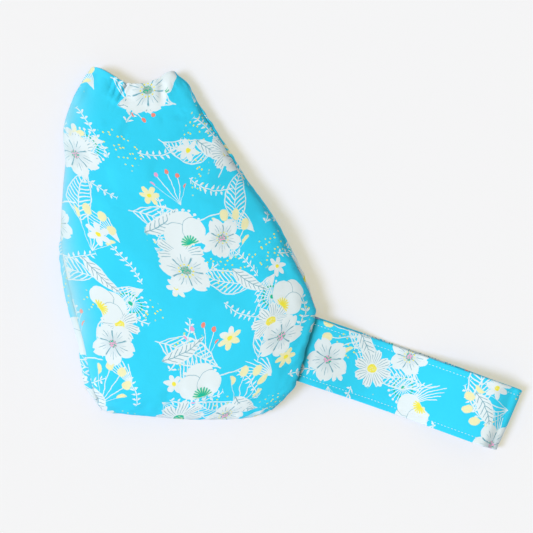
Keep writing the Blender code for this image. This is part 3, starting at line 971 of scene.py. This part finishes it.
@dataclass(frozen=True)
class PanelCloth:
    """One panel of the body, front or back, as a closed shell of cloth."""

    name: str
    front: bool
    seed: int
    rows: int = 232
    columns: int = 186
    wall: float = 0.0015
    shy: float = 0.0004
    deepest: float = 0.0015
    room: float = 0.0021
    thinning: float = 0.00095
    inner_shares: tuple[float, float] = (0.55, 0.30)
    lift_off: tuple[float, float] = (0.001, 0.006)
    rim_steps: int = 6
    seam_gap: float = 0.0001
    # Painted highlight along the left side, which faces the light: its strength, reach and the rows it spans.
    highlight_share: float = 0.58
    highlight_reach: float = 0.0082
    highlight_least: float = 0.22
    highlight_from: float = -0.045
    highlight_to: float = 0.110
    highlight_length: float = 0.030
    # Painted shade along the right seam, which faces away from the light, at the strap's slot and in the
    # gather's deepest fold.
    seam_painted_shade: tuple[float, float] = (0.20, 0.0060)
    slot_painted_shade: tuple[float, float] = (0.48, 0.0036)
    gather_painted_shade: float = 0.85
    gather_painted_shade_size: tuple[float, float] = (0.0007, 0.0045)

    def row_stations(self, shape: PouchShape) -> Array:
        """Height of each row, closer together at both ends."""
        return shape.mouth_y - (shape.mouth_y - shape.bottom_y) * crowded(self.rows, 0.45)

    def column_angles(self, shape: PouchShape, rows: Array) -> Array:
        """Angles at equal lengths of cloth across each row, from one seam to the other."""
        left, right = shape.seam_angles(self.front, rows)
        fine = np.linspace(0.0, 1.0, 900)
        angles = left[:, None] + (right - left)[:, None] * fine[None, :]
        run = run_length(shape.points(angles, rows[:, None], 0.0), axis=1)
        wanted = run[:, -1:] * crowded(self.columns, 0.28)[None, :]
        return np.stack([np.interp(wanted[i], run[i], angles[i]) for i in range(len(rows))])

    def build(self, shape: PouchShape, rumples: Rumples, finish: bpy.types.Material,
              folds: Array | None = None) -> bpy.types.Object:
        """Build the panel.

        Args:
            shape: The body's smooth form.
            rumples: The relief laid over it.
            finish: The cloth's material.
            folds: Heights of the simulated folds, on a coarser grid of the panel.

        Returns:
            The panel as one closed mesh.
        """
        rows = self.row_stations(shape)
        angles = self.column_angles(shape, rows)
        outer = shape.points(angles, rows[:, None], self.shy)
        inner = shape.points(angles, rows[:, None], self.wall)
        across = run_length(outer, axis=1)
        down = run_length(outer, axis=0)
        middle = self.columns // 2
        cloth = np.stack([across - across[:, middle:middle + 1], -down], axis=-1)
        if not self.front:
            cloth[..., 0] *= -1
        from_mouth, from_right = down, across[:, -1:] - across
        by_slot = shape.slot(rows)[:, None] if self.front else 0.0

        relief = self.seam_relief(rumples, rows[:, None], across, down, by_slot)
        broad = rumples.waves(cloth, self.seed + 7)
        if folds is not None:
            broad = broad + resampled(folds, self.rows, self.columns)
        relief += broad * smooth_step((outer[..., 2] - self.lift_off[0]) / self.lift_off[1])
        gathered = rumples.gathers(outer, from_mouth) + rumples.dents(outer) if self.front else 0.0

        normal = grid_normals(outer)
        if normal[self.rows // 2, middle, 2] * (1 if self.front else -1) < 0:
            normal = -normal
        raised = np.maximum(relief + gathered, -self.deepest)
        follow = relief * self.inner_shares[0] + gathered * self.inner_shares[1]
        follow = np.clip(follow, self.deepest - self.room, raised + self.thinning)
        moved_outer = outer + normal * raised[..., None]
        moved_inner = inner + normal * follow[..., None]
        gap = self.seam_gap / 2 if self.front else -self.seam_gap / 2
        for grid in (moved_outer, moved_inner):
            grid[..., 2] = np.maximum(grid[..., 2] + gap, 0.0)
            if self.front:
                grid[..., 1] -= rumples.notch(outer, from_mouth)
        # The fade attribute is a painted highlight along the lit left side.
        painted_light = {"fade": self.painted_highlight_share(rows, across)}
        if self.front:
            # The crease attribute is painted shade: along the right seam, at the strap's slot and in the
            # gather's deepest fold.
            width, length = self.gather_painted_shade_size
            shade_by_gather = bell(rumples.from_gather(outer, from_mouth), width) * bell(from_mouth, length)
            shade_by_seam = self.seam_painted_shade[0] * bell(from_right, self.seam_painted_shade[1])
            shade_by_seam = shade_by_seam + self.slot_painted_shade[0] * by_slot * bell(from_right, self.slot_painted_shade[1])
            painted_light["crease"] = shade_by_seam + self.gather_painted_shade * shade_by_gather * (1 - shade_by_seam)
        return self.closed(moved_outer, moved_inner, cloth, finish, painted_light)

    def seam_relief(self, rumples: Rumples, rows: Array, across: Array, down: Array, by_slot: Any) -> Array:
        """Crease, roll and puckers along the left, right and bottom seams.

        Args:
            rumples: The relief's sizes.
            rows: Height of each row, in a column.
            across: Length of cloth from the left seam.
            down: Length of cloth from the mouth.
            by_slot: How near each row is to the strap's slot, from 0 to 1.

        Returns:
            Height of the relief above the smooth body.
        """
        relief = np.zeros_like(across)
        seams = ((across, down), (across[:, -1:] - across, down), (down[-1:, :] - down, across))
        for index, (distance, along) in enumerate(seams):
            depth = rumples.crease_depth
            if index == 0 and self.front:
                high, low = rumples.left_crease
                top, bottom = rumples.left_crease_ends
                depth = high + (low - high) * smooth_step((top - rows) / (top - bottom))
            near = np.exp(-distance / rumples.crease_width)
            relief -= depth * near
            if index == 1:
                roll = rumples.slot_roll * bell(distance - rumples.slot_roll_at, rumples.slot_roll_width)
                relief += by_slot * (roll - rumples.slot_crease * near)
            relief += rumples.roll_height * bell(distance - rumples.roll_at, rumples.roll_width)
            relief += rumples.puckers(distance, along, self.seed + index)
        return relief

    def painted_highlight_share(self, rows: Array, from_left: Array) -> Array:
        """Painted highlight: how much paler the cloth is painted along the left side, which faces the light,
        most of it half way up.
        """
        rising = smooth_step((rows - self.highlight_from) / self.highlight_length)
        falling = smooth_step((rows - self.highlight_to) / self.highlight_length)
        along = self.highlight_least + (1 - self.highlight_least) * rising * (1 - falling)
        return self.highlight_share * np.exp(-((from_left / self.highlight_reach) ** 1.3)) * along[:, None]

    def closed(self, outer: Array, inner: Array, cloth: Array, finish: bpy.types.Material,
               painted_light: dict[str, Array] | None = None) -> bpy.types.Object:
        """Close the two faces into one shell, with a rounded rim at the mouth."""
        turn = np.linspace(0.0, math.pi, self.rim_steps + 2)[1:-1, None, None]
        middle = (outer[0] + inner[0]) / 2
        half = (outer[0] - inner[0]) / 2
        rise = np.zeros_like(half)
        rise[..., 1] = np.linalg.norm(half, axis=-1)
        rim = middle + half * np.cos(turn) + rise * np.sin(turn)
        grid = np.concatenate([outer[::-1], rim, inner])
        flat = np.concatenate([cloth[::-1], cloth[0] + turn * np.array([0.0, self.wall / 2]), cloth])
        total, columns = grid.shape[:2]
        index = np.arange(total * columns).reshape(total, columns)
        after = np.roll(index, -1, axis=0)
        quads = np.stack([index[:, :-1], index[:, 1:], after[:, 1:], after[:, :-1]], axis=-1).reshape(-1, 4)
        rows = outer.shape[0]
        sides = []
        for column, turned in ((0, -1), (columns - 1, 1)):
            outside = index[:rows, column][::-1]
            inside = index[rows + self.rim_steps:, column]
            strip = np.stack([outside[:-1], outside[1:], inside[1:], inside[:-1]], axis=-1)
            sides += [quad[::turned] for quad in strip.tolist()]
            sides.append(index[rows - 1:rows + self.rim_steps + 1, column].tolist()[::-turned])
        faces = quads.tolist() + sides
        points = grid.reshape(-1, 3)
        first = points[quads[len(quads) // 4]]
        facing = np.cross(first[1] - first[0], first[3] - first[0])
        if facing[2] * (1 if self.front else -1) < 0:
            faces = [face[::-1] for face in faces]
        spread = {}
        for name, tone in (painted_light or {}).items():
            by_rim = np.repeat(tone[:1], self.rim_steps, axis=0)
            spread[name] = np.concatenate([tone[::-1], by_rim, tone]).ravel()
        return mesh_piece(self.name, points, faces, flat.reshape(-1, 2), finish, spread)


@dataclass(frozen=True)
class LiningCloth(PanelCloth):
    """One panel of the lining, just inside the padded panel."""

    rows: int = 84
    columns: int = 66
    wall: float = 0.0008
    inset: float = 0.0022
    rim_steps: int = 3

    def build(self, shape: PouchShape, rumples: Rumples, finish: bpy.types.Material) -> bpy.types.Object:
        """Build the lining panel in the same way, without the relief of the seams."""
        rows = self.row_stations(shape)
        left, right = shape.seam_angles(self.front, rows)
        even = np.linspace(0.0, 1.0, self.columns)
        angles = left[:, None] + (right - left)[:, None] * even[None, :]
        outer = shape.points(angles, rows[:, None], self.inset)
        inner = shape.points(angles, rows[:, None], self.inset + self.wall)
        across, down = run_length(outer, axis=1), run_length(outer, axis=0)
        cloth = np.stack([across - across[:, self.columns // 2:self.columns // 2 + 1], -down], axis=-1)
        ripple = rumples.waves(cloth, self.seed)[..., None] * 0.4
        inward = inner - outer
        inward /= np.maximum(np.linalg.norm(inward, axis=-1, keepdims=True), 1e-9)
        inner = inner + inward * (ripple + rumples.wave_height * 0.4)
        gap = self.seam_gap / 2 if self.front else -self.seam_gap / 2
        outer[..., 2] += gap
        inner[..., 2] += gap
        return self.closed(outer, inner, cloth, finish)


@dataclass(frozen=True)
class Stuffing:
    """Cloth simulation of the stuffed body.

    A coarse closed skin of the body, held along its seams and its mouth, is blown up while
    its cloth grows a little. What remains of that after its smooth swelling is taken off
    are the folds that the seams hold in.
    """

    rows: int = 84
    columns: int = 68
    frames: int = 24
    pressure: float = 3.0
    growth: float = 0.06
    stiffness: float = 12.0
    bending: float = 0.15
    smooth_passes: int = 26
    most: float = 0.0005

    def folds(self, shape: PouchShape, panels: tuple[PanelCloth, PanelCloth]) -> tuple[Array, Array] | None:
        """Run the simulation.

        Args:
            shape: The body's smooth form.
            panels: The front and back panels.
        """
        closed = replace(shape, slot_half_height=0.0)
        grids = []
        for panel in panels:
            coarse = replace(panel, rows=self.rows, columns=self.columns)
            rows = coarse.row_stations(closed)
            grids.append(closed.points(coarse.column_angles(closed, rows), rows[:, None], 0.0))
        ring = np.concatenate([grids[0], grids[1][:, -2:0:-1]], axis=1)
        moved = self.settled(ring) - ring
        normal = grid_normals(np.concatenate([ring[:, -1:], ring, ring[:, :1]], axis=1))[:, 1:-1]
        if normal[self.rows // 2, self.columns // 2, 2] < 0:
            normal = -normal
        height = np.einsum("ijk,ijk->ij", moved, normal)
        back = np.concatenate([height[:, :1], height[:, :self.columns - 2:-1]], axis=1)
        kept = []
        for grid in (height[:, :self.columns], back):
            fold = grid - blurred(grid, self.smooth_passes)
            kept.append(self.most * np.tanh(fold / self.most))
            log.info("simulated folds reach %.2f mm, swelling %.2f mm", abs(fold).max() / MM, grid.max() / MM)
        return kept[0], kept[1]

    def settled(self, ring: Array) -> Array:
        """The skin's points after the simulation."""
        rows, columns = ring.shape[:2]
        index = np.arange(rows * columns).reshape(rows, columns)
        beside = np.roll(index, -1, axis=1)
        quads = np.stack([index[:-1], index[1:], beside[1:], beside[:-1]], axis=-1).reshape(-1, 4)
        mesh = bpy.data.meshes.new("stuffing_skin")
        mesh.from_pydata(ring.reshape(-1, 3).tolist(), [], quads.tolist())
        skin = linked("stuffing_skin", mesh)
        held = skin.vertex_groups.new(name="held")
        seams = [index[0], index[-1], index[:, 0], index[:, self.columns - 1]]
        held.add(np.unique(np.concatenate(seams)).tolist(), 1.0, "REPLACE")
        cloth = skin.modifiers.new("cloth", "CLOTH")
        settings = cloth.settings
        settings.vertex_group_mass = "held"
        settings.quality = 6
        settings.use_pressure = True
        settings.uniform_pressure_force = self.pressure
        settings.shrink_min = -self.growth
        settings.effector_weights.gravity = 0.0
        settings.tension_stiffness = self.stiffness
        settings.compression_stiffness = self.stiffness
        settings.bending_stiffness = self.bending
        cloth.collision_settings.use_collision = False
        cloth.point_cache.frame_end = self.frames
        scene = bpy.context.scene
        for frame_number in range(1, self.frames + 1):
            scene.frame_set(frame_number)
        shown = skin.evaluated_get(bpy.context.evaluated_depsgraph_get()).to_mesh()
        points = np.empty(rows * columns * 3)
        shown.vertices.foreach_get("co", points)
        scene.frame_set(1)
        bpy.data.objects.remove(skin, do_unlink=True)
        return points.reshape(rows, columns, 3)


class Face(Enum):
    """A face of the strap's band."""

    OUTSIDE = -1
    INSIDE = 1


@dataclass(frozen=True)
class WristStrap:
    """One band of cloth, folded back on itself at its far end and topstitched along both edges."""

    shape: PouchShape
    root_y: float = -0.0388
    length: float = 0.1402
    width: float = 0.0425
    slope: float = math.radians(-19.3)
    thickness: float = 0.0022
    layer_gap: float = 0.0003
    tail: float = 0.0022
    drop_length: float = 0.050
    root_step: float = 0.0008
    root_step_length: float = 0.005
    # Painted shade where the strap goes in under the body's side: its depth and reach.
    root_painted_shade: tuple[float, float] = (0.60, 0.0016)
    fold_gap: float = 0.0130
    fold_length: float = 0.0045
    fold_skew: float = 0.078
    crease_lengths: tuple[float, float] = (0.0120, 0.0190)
    crease_share: float = 0.42
    loop_open_length: float = 0.070
    lower_drift: float = 0.0009
    stations: int = 330
    edge_steps: int = 7
    flat_steps: int = 26
    stitch_inset: float = 0.0040
    stitch_pitch: float = 0.00235
    stitch_length: float = 0.00185
    stitch_radius: float = 0.00018
    stitch_dip: float = 0.00042
    stitch_pull: float = 0.38
    stitch_pull_width: float = 0.0011
    wave_height: float = 0.00016

    def centreline(self, crease: float) -> Array:
        """Side view of the band's middle: distance and height.

        Args:
            crease: How far from the far end the upper layer starts to fall towards it.

        Returns:
            Its points, at equal lengths of band.
        """
        root_height = float(self.shape.widest(self.root_y))
        lower_root = root_height - (self.layer_gap + self.thickness) / 2
        fold_start = self.length - self.fold_length
        along = np.concatenate([[-self.tail], np.linspace(0.0, fold_start, 240)])
        drop = smooth_step(along / self.drop_length)
        step = self.root_step * smooth_step(along / self.root_step_length) * (1 - drop)
        lower = lower_root + (self.thickness / 2 - lower_root) * drop - step
        from_crease = along - self.length + crease
        opening = smooth_step(from_crease / self.loop_open_length + 1)
        falling = self.crease_share * smooth_step(from_crease / (crease - self.fold_length))
        gap = self.layer_gap + (self.fold_gap - self.layer_gap) * opening * (1 - falling)
        upper = lower + self.thickness + gap
        turn = np.linspace(-math.pi / 2, math.pi / 2, 62)[1:-1]
        half_rise = (upper[-1] - lower[-1]) / 2
        fold_along = fold_start + (self.fold_length - self.thickness / 2) * np.cos(turn)
        fold_height = lower[-1] + half_rise * (1 + np.sin(turn))
        line = np.stack([np.concatenate([along, fold_along, along[::-1]]),
                         np.concatenate([lower, fold_height, upper[::-1]])], axis=-1)
        run = run_length(line, axis=0)
        even = np.linspace(0.0, run[-1], self.stations)
        return np.stack([np.interp(even, run, line[:, 0]), np.interp(even, run, line[:, 1])], axis=-1)

    def edge_view(self, crease: float, share: Array) -> tuple[Array, Array]:
        """Places and inward normals in one edge's side view, at shares of the band's length."""
        line = self.centreline(crease)
        even = np.linspace(0.0, 1.0, len(line))
        tangent = np.gradient(line, axis=0)
        tangent /= np.linalg.norm(tangent, axis=1, keepdims=True)
        normal = np.stack([-tangent[:, 1], tangent[:, 0]], axis=-1)
        place, facing = (np.stack([np.interp(share, even, part[:, k]) for k in (0, 1)], axis=-1)
                         for part in (line, normal))
        return place, facing

    def side_view(self, share: Array, across: Array) -> tuple[Array, Array]:
        """Places and inward normals between the side views of the two edges, mixed by place."""
        low, high = (self.edge_view(crease, share) for crease in self.crease_lengths)
        part = np.clip(across / self.width + 0.5, 0.0, 1.0)[..., None]
        place, facing = (first * (1 - part) + second * part for first, second in zip(low, high))
        return place, facing / np.linalg.norm(facing, axis=-1, keepdims=True)

    @property
    def band_length(self) -> float:
        """Length of the band from tail to tail."""
        lengths = [run_length(self.centreline(crease), axis=0)[-1] for crease in self.crease_lengths]
        return float(np.mean(lengths))

    def puff(self, across: Array) -> Array:
        """Half thickness across the band: full between the stitching, pulled in along it."""
        half = self.width / 2
        from_stitch = np.abs(np.abs(across) - (half - self.stitch_inset))
        return self.thickness / 2 * (1 - self.stitch_pull * bell(from_stitch, self.stitch_pull_width))

    def section(self) -> Array:
        """Closed section of the band: lateral place and thickness place, edges rounded."""
        half = self.width / 2
        radius = self.thickness / 2 * 0.8
        flat = np.linspace(-(half - radius), half - radius, self.flat_steps)
        turn = np.linspace(-math.pi / 2, math.pi / 2, self.edge_steps + 2)[1:-1]
        edge = self.puff(np.array(half - radius))
        right = np.stack([half - radius + radius * np.cos(turn), edge * np.sin(turn)], axis=-1)
        lower = np.stack([flat, -self.puff(flat)], axis=-1)
        upper = np.stack([flat[::-1], self.puff(flat[::-1])], axis=-1)
        left = right * np.array([-1.0, 1.0])
        return np.concatenate([lower, right, upper, left[::-1]])

    def placed(self, along: Array, across: Array, height: Array, run: Array) -> Array:
        """Points in the pouch's frame of places along, across and above the strap.

        The strap starts along the side seam and leans to its fold's own slant. Its lower layer
        lies a little further up than its upper one.
        """
        forward = np.array([math.cos(self.slope), math.sin(self.slope)])
        sideways = np.array([-forward[1], forward[0]])
        half_rise = self.width / 2 * sideways[1]
        low, high = (np.array([self.shape.side_x(self.shape.right_side, self.root_y + step), step])
                     for step in (-half_rise, half_rise))
        root_skew = (high - low) @ forward / ((high - low) @ sideways)
        root = np.array([(low[0] + high[0]) / 2, self.root_y])
        skew = root_skew + (self.fold_skew - root_skew) * np.clip(along / self.length, 0, 1)
        reach = along + skew * across
        on_lower = 1 - smooth_step((run - self.length * 0.55) / (self.length * 0.4))
        lateral = across + self.lower_drift * on_lower
        plan = root + reach[..., None] * forward + lateral[..., None] * sideways
        return np.concatenate([plan, np.maximum(height, 0.0)[..., None]], axis=-1)

    def ease(self, run: Array, across: Array) -> Array:
        """Small slow waves of the band's surface, so that it is not a ruled plate."""
        wave = np.sin(run / 0.0137 + across * 60) + 0.7 * np.sin(run / 0.0071 - across * 90 + 1.1)
        return self.wave_height * wave

    def band(self, finish: bpy.types.Material) -> bpy.types.Object:
        """Build the band as one closed mesh."""
        section = self.section()
        run = np.linspace(0.0, self.band_length, self.stations)
        across = np.broadcast_to(section[None, :, 0], (len(run), len(section)))
        base, facing = self.side_view(run[:, None] / run[-1] + 0 * across, across)
        lift = section[None, :, 1] + self.ease(run[:, None], across)
        side = base + facing * lift[..., None]
        points = self.placed(side[..., 0], across, side[..., 1], run[:, None])
        stations, corners = points.shape[:2]
        index = np.arange(stations * corners).reshape(stations, corners)
        beside = np.roll(index, -1, axis=1)
        quads = np.stack([index[:-1], beside[:-1], beside[1:], index[1:]], axis=-1).reshape(-1, 4)
        faces = quads.tolist() + [index[0, ::-1].tolist(), index[-1].tolist()]
        cloth = np.stack([np.broadcast_to(run[:, None], across.shape), across], axis=-1)
        # Painted shade: the band's crease attribute darkens it near both ends of the tail, at the strap's
        # root.
        from_root = np.minimum(run, run[-1] - run) - self.tail
        depth, reach = self.root_painted_shade
        crease = depth * np.exp(-np.maximum(from_root, 0.0) / reach)[:, None] + 0 * across
        return mesh_piece("wrist_strap_band", points.reshape(-1, 3), faces, cloth.reshape(-1, 2), finish,
                          {"crease": crease.ravel()})

    def topstitch(self, finish: bpy.types.Material) -> bpy.types.Object:
        """Build both rows of stitches on both faces of the band.

        Each stitch is a short rounded thread whose ends dip into the cloth.
        """
        length = self.band_length
        starts = np.arange(self.stitch_pitch, length - self.stitch_pitch, self.stitch_pitch)
        rings, around = 7, 6
        share = np.linspace(-1.0, 1.0, rings)
        turn = np.linspace(0.0, 2 * math.pi, around, endpoint=False)
        taper = np.sqrt(np.clip(1.04 - share**2, 0.0, 1.0))
        along = (share * self.stitch_length / 2)[:, None] + 0 * turn[None, :]
        beside = self.stitch_radius * taper[:, None] * np.cos(turn)[None, :]
        above = self.stitch_radius * taper[:, None] * np.sin(turn)[None, :]
        above = above - (self.stitch_dip * share**2)[:, None] + self.stitch_radius * 0.35
        pieces = []
        for face in Face:
            for row in (-1, 1):
                place = row * (self.width / 2 - self.stitch_inset)
                at = starts[:, None, None] + along[None]
                surface = self.puff(np.array(place)) + above[None]
                lateral = place + beside[None] + 0 * at
                depth = face.value * surface + self.ease(at, lateral)
                base, facing = self.side_view(at / length, lateral)
                side = base + facing * depth[..., None]
                pieces.append(self.placed(side[..., 0], lateral, side[..., 1], at))
        points = np.concatenate(pieces)
        count = points.shape[0]
        index = np.arange(count * rings * around).reshape(count, rings, around)
        beside_index = np.roll(index, -1, axis=2)
        quads = np.stack([index[:, :-1], beside_index[:, :-1], beside_index[:, 1:], index[:, 1:]], axis=-1)
        caps = np.concatenate([index[:, 0, ::-1], index[:, -1]])
        made = mesh_piece("strap_topstitch", points.reshape(-1, 3),
                          quads.reshape(-1, 4).tolist() + caps.tolist(), None, finish)
        outward(made)
        return made


def outward(piece: bpy.types.Object) -> None:
    """Turn every closed body of a mesh outwards."""
    worked = bmesh.new()
    worked.from_mesh(piece.data)
    bmesh.ops.recalc_face_normals(worked, faces=worked.faces)
    worked.to_mesh(piece.data)
    worked.free()


@dataclass(frozen=True)
class Studio:
    """Pale table, soft light from the lower left and a camera straight above."""

    metres_per_pixel: float = 0.65 * MM
    pixels: int = 533
    origin_pixel: tuple[float, float] = (170.0, 290.0)
    focus_height: float = 0.012
    camera_height: float = 1.0
    sensor_mm: float = 36.0
    shown_white: Colour = tint(245, 245, 245)
    table_colour: Colour = (0.650, 0.720, 0.970)
    glow_colour: Colour = (1.53, 1.361, 0.78)
    sky_colour: Colour = (0.526, 0.510, 0.420)
    sky_slant: float = 0.08
    key_colour: Colour = (0.846, 0.885, 1.058)
    key_level: float = 0.555
    key_elevation: float = math.radians(55.0)
    key_heading: float = math.radians(192.0)
    key_softness: float = math.radians(21.0)
    table_glow: float = 0.30
    table_half: float = 3.0

    def camera(self) -> None:
        """Camera over the middle of the photograph, at its scale."""
        data = bpy.data.cameras.new("overhead_camera")
        data.sensor_width = self.sensor_mm
        field = self.metres_per_pixel * self.pixels
        data.lens = self.sensor_mm * (self.camera_height - self.focus_height) / field
        eye = linked("overhead_camera", data)
        x = (self.pixels / 2 - self.origin_pixel[0]) * self.metres_per_pixel
        y = (self.origin_pixel[1] - self.pixels / 2) * self.metres_per_pixel
        eye.location = (x, y, self.camera_height)
        bpy.context.scene.camera = eye

    def table(self) -> bpy.types.Object:
        """White table top."""
        made, weave, shader = new_material("white_table")
        grain = weave.noise(weave.node("ShaderNodeTexCoord").outputs["Object"], 30.0)
        paler = tuple(part * 1.006 for part in self.table_colour)
        weave.put(shader.inputs["Base Color"], weave.mixed(grain, self.table_colour, paler))
        shader.inputs["Roughness"].default_value = 0.9
        shader.inputs["Specular IOR Level"].default_value = 0.0
        glow = weave.node("ShaderNodeEmission", {}, {"Color": (*self.glow_colour, 1.0), "Strength": 1.0})
        values = {0: weave.seen() * self.table_glow, 1: shader.outputs[0], 2: glow.outputs[0]}
        mixed = weave.node("ShaderNodeMixShader", {}, values)
        weave.put(made.node_tree.nodes["Material Output"].inputs[0], mixed.outputs[0])
        half = self.table_half
        corners = np.array([(-half, -half, 0), (half, -half, 0), (half, half, 0), (-half, half, 0)])
        return mesh_piece("table_top", corners, [[0, 1, 2, 3]], None, made)

    def light(self) -> None:
        """One soft sun and a sky that is brighter on the sun's side; the camera sees the sky white."""
        sun = bpy.data.lights.new("window_light", "SUN")
        sun.color = self.key_colour
        sun.energy = self.key_level * math.pi / math.sin(self.key_elevation)
        sun.angle = self.key_softness
        lamp = linked("window_light", sun)
        lamp.rotation_euler = (0.0, math.pi / 2 - self.key_elevation, self.key_heading)
        world = bpy.data.worlds.new("studio")
        bpy.context.scene.world = world
        world.use_nodes = True
        world.node_tree.nodes.clear()
        weave = NodeWeaver(world.node_tree)
        towards = (math.cos(self.key_heading), math.sin(self.key_heading), 0.0)
        heading = weave.node("ShaderNodeTexCoord").outputs["Generated"]
        side = Value(weave, weave.vector("DOT_PRODUCT", heading, towards).outputs[1])
        dim, bright, shown = (
            weave.node("ShaderNodeBackground", {}, {"Color": (*colour, 1.0), "Strength": level}).outputs[0]
            for colour, level in ((self.sky_colour, 1 - self.sky_slant),
                                  (self.sky_colour, 1 + self.sky_slant), (self.shown_white, 1.0))
        )
        sky = weave.node("ShaderNodeMixShader", {}, {0: side * 0.5 + 0.5, 1: dim, 2: bright}).outputs[0]
        mixed = weave.node("ShaderNodeMixShader", {}, {0: weave.seen(), 1: sky, 2: shown}).outputs[0]
        weave.node("ShaderNodeOutputWorld", {}, {0: mixed})

    def build(self) -> None:
        """Set up table, light and camera, and how colours are shown."""
        self.table()
        self.light()
        self.camera()
        bpy.context.scene.view_settings.view_transform = "Standard"


def main() -> None:
    """Build every piece in order and say what each one is."""
    logging.basicConfig(level=logging.INFO, format="%(message)s")
    Studio().build()
    shape, rumples = PouchShape(), Rumples()
    front_finish = CottonFinish("print_cotton_front", turn=4.0, shift=(14.0, 30.0)).material()
    back_finish = CottonFinish("print_cotton_back", turn=-3.0, shift=(71.0, 12.0)).material()
    strap_finish = CottonFinish("print_cotton_strap", turn=82.0, shift=(40.0, 66.0)).material()
    lining_finish = CottonFinish("plain_lining_cotton", printed=False).material()

    front_panel = PanelCloth("front_panel_cloth", True, seed=3)
    back_panel = PanelCloth("back_panel_cloth", False, seed=23)
    front_folds, back_folds = Stuffing().folds(shape, (front_panel, back_panel)) or (None, None)
    front = front_panel.build(shape, rumples, front_finish, front_folds)
    back = back_panel.build(shape, rumples, back_finish, back_folds)
    upper = LiningCloth("lining_front_cloth", True, seed=41)
    lower = LiningCloth("lining_back_cloth", False, seed=43)
    lining_front = upper.build(shape, rumples, lining_finish)
    lining_back = lower.build(shape, rumples, lining_finish)
    strap = WristStrap(shape)
    band = strap.band(strap_finish)
    stitches = strap.topstitch(ThreadFinish().material())

    for piece, node, slot in (
        (front, "front_panel", "print_cotton"), (back, "back_panel", "print_cotton"),
        (lining_front, "lining_front", "lining_cotton"), (lining_back, "lining_back", "lining_cotton"),
        (band, "wrist_strap", "strap_cotton"),
    ):
        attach(piece, "root")
        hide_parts(node)
        log.info("%s stands for %s", piece.name, node)
    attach(stitches, "root")
    log.info("%s holds %d vertices", stitches.name, len(stitches.data.vertices))


if __name__ == "__main__":
    main()
